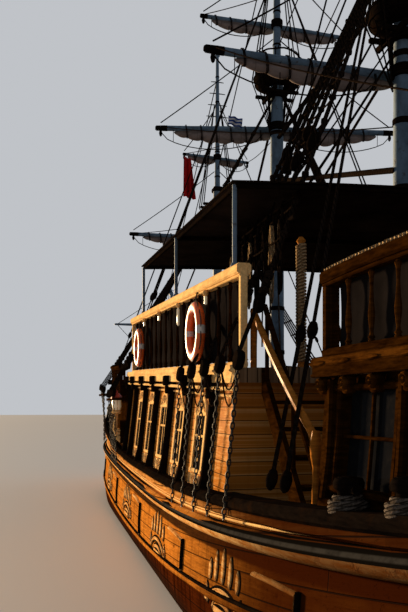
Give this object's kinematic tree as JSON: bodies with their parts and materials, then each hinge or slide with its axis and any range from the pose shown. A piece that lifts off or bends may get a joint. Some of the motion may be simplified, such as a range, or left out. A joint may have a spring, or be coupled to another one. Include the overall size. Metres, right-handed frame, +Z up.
{
  "type": "tall ship",
  "caption": "Three-masted wooden tall ship with square yards, furled sails, a full-beam deckhouse, awning, forecastle, aftercastle, rudder and propeller.",
  "frame": {"origin": "amidships on the centreline, at the waterline", "axes": "+X forward to the bow, +Y to port, +Z up"},
  "size_m": [30.055, 8.2304, 17.86],
  "materials": {
    "hull_planks": "oiled reddish planks, darker low down",
    "keel_timber": "painted dark",
    "screw_bronze": "satin bronze",
    "varnished_wood": "honey varnish",
    "deck_planks": "laid deck, matt",
    "pale_rail": "pale golden varnish",
    "dark_timber": "dark stained timber",
    "grey_spar": "weathered grey-blue paint",
    "sail_canvas": "furled canvas",
    "awning_canvas": "dark awning cloth",
    "tarred_rope": "tarred rope",
    "anchor_iron": "black painted iron",
    "buoy_orange": "orange lifebuoy skin",
    "lantern_brass": "brass and glass"
  },
  "bodies": {
    "root": {"hull": "hull_planks", "backbone": "keel_timber", "forecastle": "varnished_wood", "deckhouse": "varnished_wood", "aftercastle": "varnished_wood", "stern_gallery": "varnished_wood", "helm_pedestal": "varnished_wood", "upper_deck": "deck_planks", "poop_deck": "deck_planks", "upper_rail_port": "pale_rail", "upper_rail_starboard": "pale_rail", "poop_rail_port": "pale_rail", "poop_rail_starboard": "pale_rail", "forecastle_rail_port": "pale_rail", "forecastle_rail_starboard": "pale_rail", "companion_stair": "pale_rail", "poop_ladder": "pale_rail", "awning_frame": "dark_timber", "foredeck_skylight": "dark_timber", "cathead_port": "dark_timber", "cathead_starboard": "dark_timber", "mooring_bitts_port": "dark_timber", "mooring_bitts_starboard": "dark_timber", "main_top": "dark_timber", "mizzen_top": "dark_timber", "mizzen_mast": "grey_spar", "main_mast": "grey_spar", "fore_mast": "grey_spar", "bowsprit": "grey_spar", "spritsail_yard": "grey_spar", "awning": "awning_canvas", "mizzen_stay": "tarred_rope", "main_stay": "tarred_rope", "fore_stay": "tarred_rope", "anchor_port": "anchor_iron", "anchor_starboard": "anchor_iron", "lifebuoy_aft_port": "buoy_orange", "lifebuoy_fore_port": "buoy_orange", "lifebuoy_aft_starboard": "buoy_orange", "lifebuoy_fore_starboard": "buoy_orange", "stern_lantern": "lantern_brass", "side_lantern_port": "lantern_brass", "side_lantern_starboard": "lantern_brass"},
    "rudder": {"rudder": "keel_timber"},
    "propeller": {"propeller": "screw_bronze"},
    "helm_wheel": {"helm_wheel": "varnished_wood"},
    "deckhouse_door": {"deckhouse_door": "varnished_wood"},
    "aftercastle_door": {"aftercastle_door": "varnished_wood"},
    "mizzen_lower_yard": {"mizzen_lower_yard": "grey_spar", "mizzen_lower_sail": "sail_canvas"},
    "mizzen_upper_yard": {"mizzen_upper_yard": "grey_spar", "mizzen_upper_sail": "sail_canvas"},
    "main_lower_yard": {"main_lower_yard": "grey_spar", "main_lower_sail": "sail_canvas"},
    "main_upper_yard": {"main_upper_yard": "grey_spar", "main_upper_sail": "sail_canvas"},
    "fore_lower_yard": {"fore_lower_yard": "grey_spar", "fore_lower_sail": "sail_canvas"},
    "fore_upper_yard": {"fore_upper_yard": "grey_spar", "fore_upper_sail": "sail_canvas"}
  },
  "joints": [
    {"name": "rudder_turn", "type": "hinge", "parent": "root", "child": "rudder", "pos_m": [-10.4, 0, -0.4], "axis": [0, 0, 1], "range_deg": [-35, 35]},
    {"name": "propeller_spin", "type": "hinge", "parent": "root", "child": "propeller", "pos_m": [-9.3, 0, -1.175], "axis": [1, 0, 0], "continuous": true},
    {"name": "helm_turn", "type": "hinge", "parent": "root", "child": "helm_wheel", "pos_m": [-8.11, 0, 3.82], "axis": [1, 0, 0], "range_deg": [-525, 525]},
    {"name": "deckhouse_door_swing", "type": "hinge", "parent": "root", "child": "deckhouse_door", "pos_m": [-4.904, 0.426, 1.9], "axis": [0, 0, -1], "range_deg": [0, 100]},
    {"name": "aftercastle_door_swing", "type": "hinge", "parent": "root", "child": "aftercastle_door", "pos_m": [-7.096, 0.426, 1.9], "axis": [0, 0, 1], "range_deg": [0, 100]},
    {"name": "mizzen_lower_yard_brace", "type": "hinge", "parent": "root", "child": "mizzen_lower_yard", "pos_m": [-2, 0, 7.905], "axis": [0, 0, 1], "range_deg": [-15, 15]},
    {"name": "mizzen_upper_yard_brace", "type": "hinge", "parent": "root", "child": "mizzen_upper_yard", "pos_m": [-2, 0, 10.9], "axis": [0, 0, 1], "range_deg": [-15, 15]},
    {"name": "main_lower_yard_brace", "type": "hinge", "parent": "root", "child": "main_lower_yard", "pos_m": [4, 0, 9.38], "axis": [0, 0, 1], "range_deg": [-6, 27]},
    {"name": "main_upper_yard_brace", "type": "hinge", "parent": "root", "child": "main_upper_yard", "pos_m": [4, 0, 11.86], "axis": [0, 0, 1], "range_deg": [-9, 21]},
    {"name": "fore_lower_yard_brace", "type": "hinge", "parent": "root", "child": "fore_lower_yard", "pos_m": [9.8, 0, 8.1], "axis": [0, 0, 1], "range_deg": [-15, 15]},
    {"name": "fore_upper_yard_brace", "type": "hinge", "parent": "root", "child": "fore_upper_yard", "pos_m": [9.8, 0, 10.675], "axis": [0, 0, 1], "range_deg": [-15, 15]}
  ],
  "couplings": [
    {"joint": "helm_turn", "follows": "rudder_turn", "ratio": -15}
  ]
}
